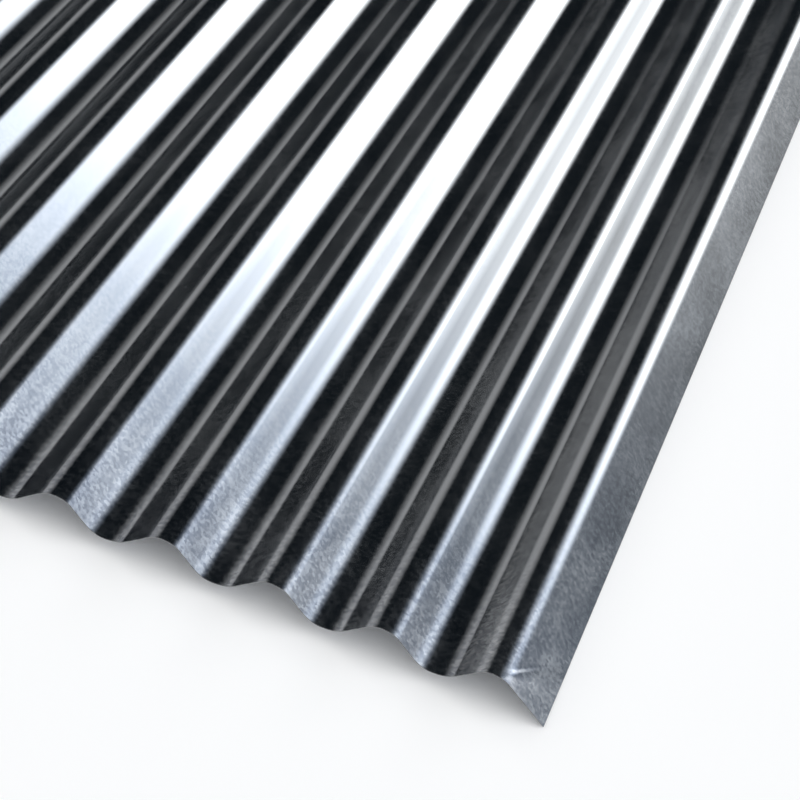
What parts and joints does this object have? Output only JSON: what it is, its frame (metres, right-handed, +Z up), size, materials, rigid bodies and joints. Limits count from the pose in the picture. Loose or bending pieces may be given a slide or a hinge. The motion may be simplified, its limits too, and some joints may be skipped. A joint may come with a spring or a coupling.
{
  "type": "corrugated metal sheet",
  "caption": "Corrugated galvanised steel roofing sheet, long edges turned down, lying flat.",
  "frame": {"origin": "floor level, under the middle of the sheet's width and length", "axes": "+Y along the corrugations, +X across them, +Z up out of the lying sheet"},
  "size_m": [0.9174, 2, 0.0267],
  "materials": {
    "galvanised_steel": "bright zinc coating with a fine spangle, smooth, reflecting softly along the waves"
  },
  "bodies": {
    "root": {"corrugated_sheet": "galvanised_steel"}
  },
  "joints": []
}
